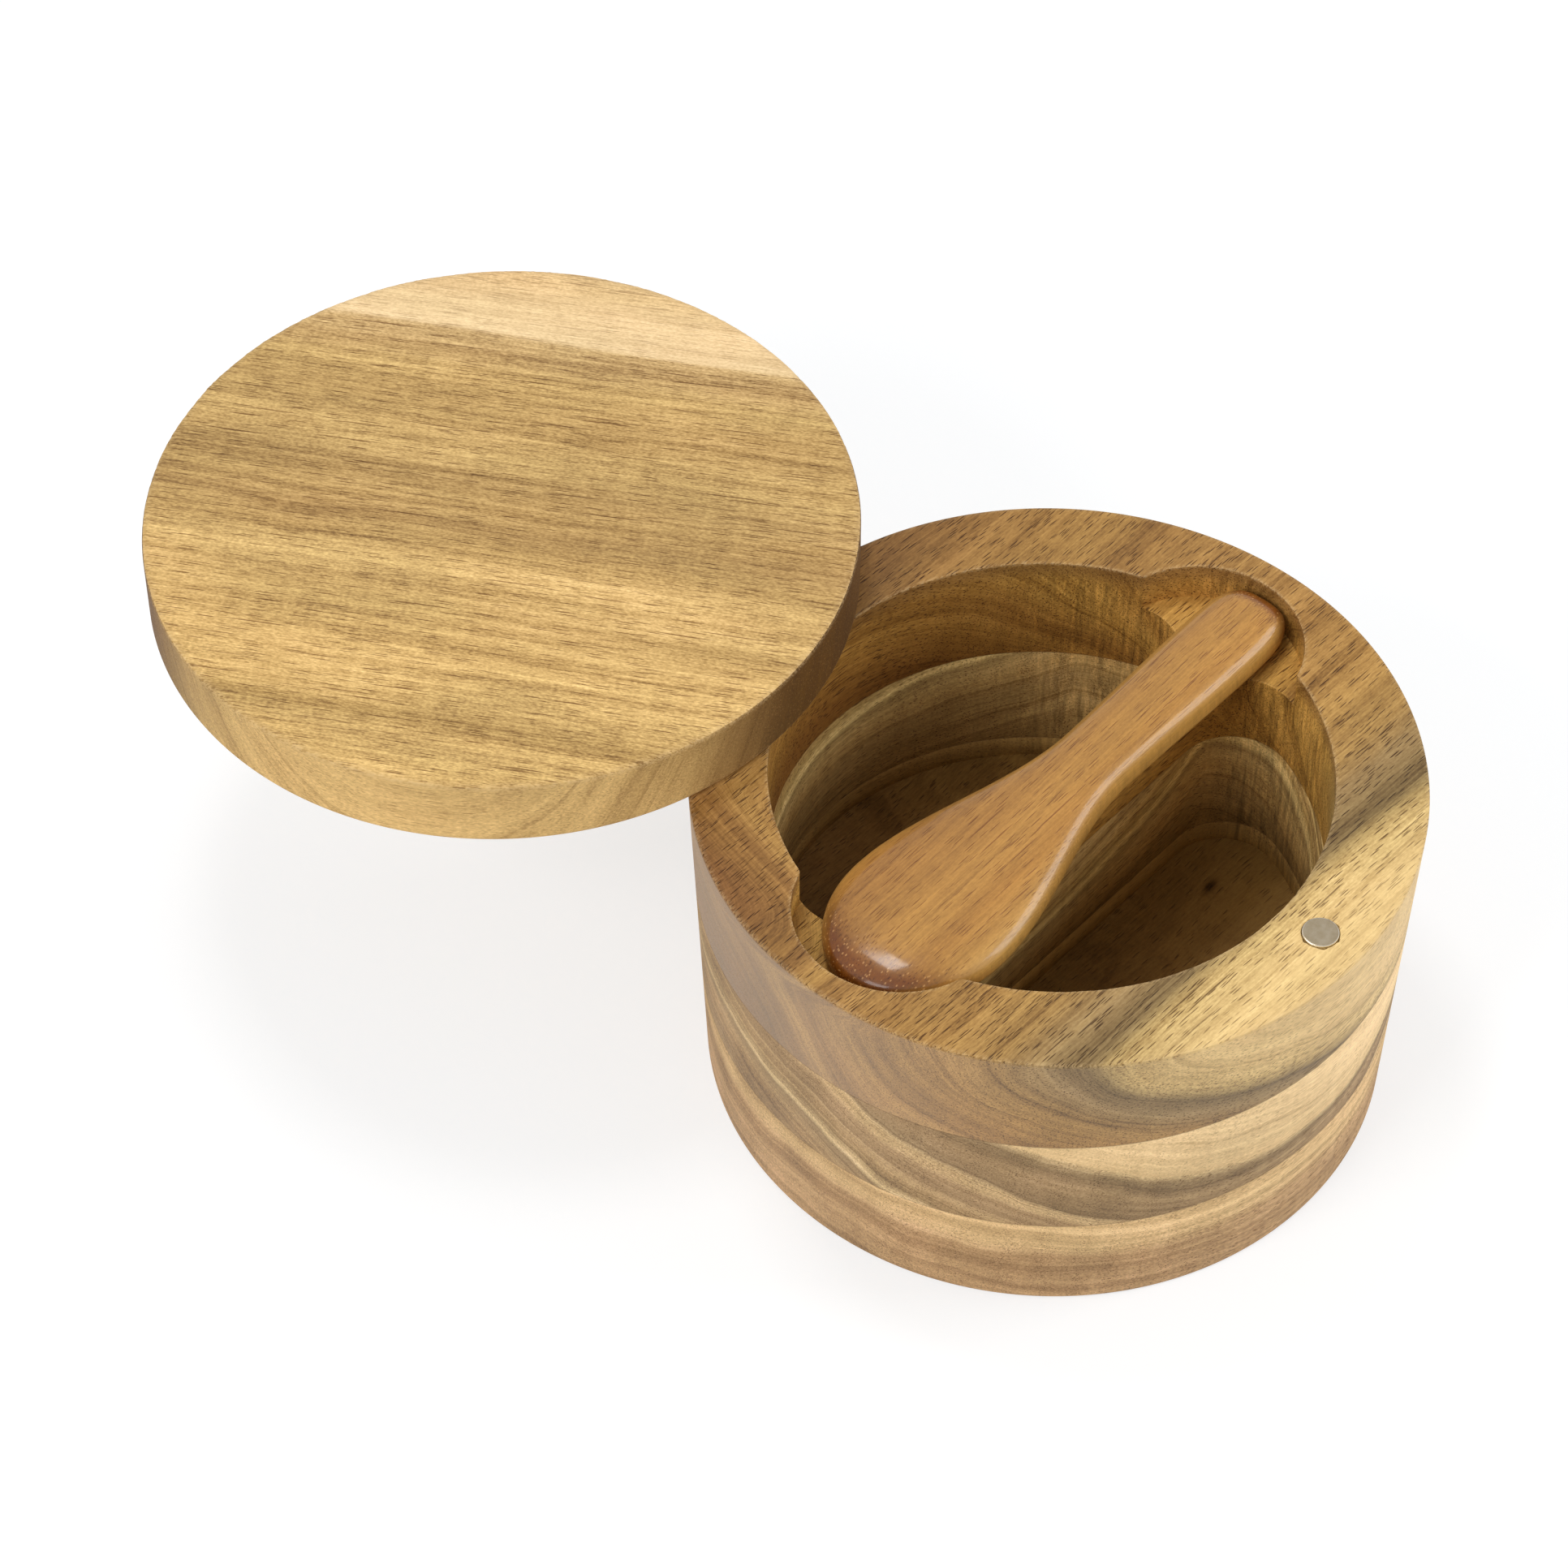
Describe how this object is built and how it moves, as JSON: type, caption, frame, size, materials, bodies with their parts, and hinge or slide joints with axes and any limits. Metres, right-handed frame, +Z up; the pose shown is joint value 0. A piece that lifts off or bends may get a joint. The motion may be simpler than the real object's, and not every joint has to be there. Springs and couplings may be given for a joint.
{
  "type": "salt box",
  "caption": "Round wooden salt box with paired wells, a flat lid that swivels sideways on an upright pin, a magnetic catch and a wooden spoon lying across the wells.",
  "frame": {"origin": "centre of the round underside that the box stands on", "axes": "+Z up; -Y towards the catch magnet, +Y towards the pivot pin; +X towards the spoon's handle"},
  "size_m": [0.1432, 0.2182, 0.0783],
  "materials": {
    "box_wood": "oiled acacia, satin",
    "lid_wood": "oiled acacia, satin",
    "spoon_wood": "oiled acacia, smooth satin",
    "magnet_plating": "worn nickel plating",
    "pin_steel": "bright drawn steel"
  },
  "bodies": {
    "box": {"base_board": "box_wood", "middle_board": "box_wood", "top_board": "box_wood", "catch_magnet": "magnet_plating", "pivot_pin": "pin_steel"},
    "lid": {"lid_board": "lid_wood", "lid_magnet": "magnet_plating"},
    "spoon": {"spoon": "spoon_wood"}
  },
  "joints": [
    {"name": "lid_swivel", "type": "hinge", "parent": "box", "child": "lid", "pos_m": [0, 0.0522, 0.0655], "axis": [0, 0, 1], "range_deg": [-207, 153]},
    {"name": "spoon_lift", "type": "slide", "parent": "box", "child": "spoon", "axis": [0, 0, 1], "range_m": [0, 0.08]}
  ]
}
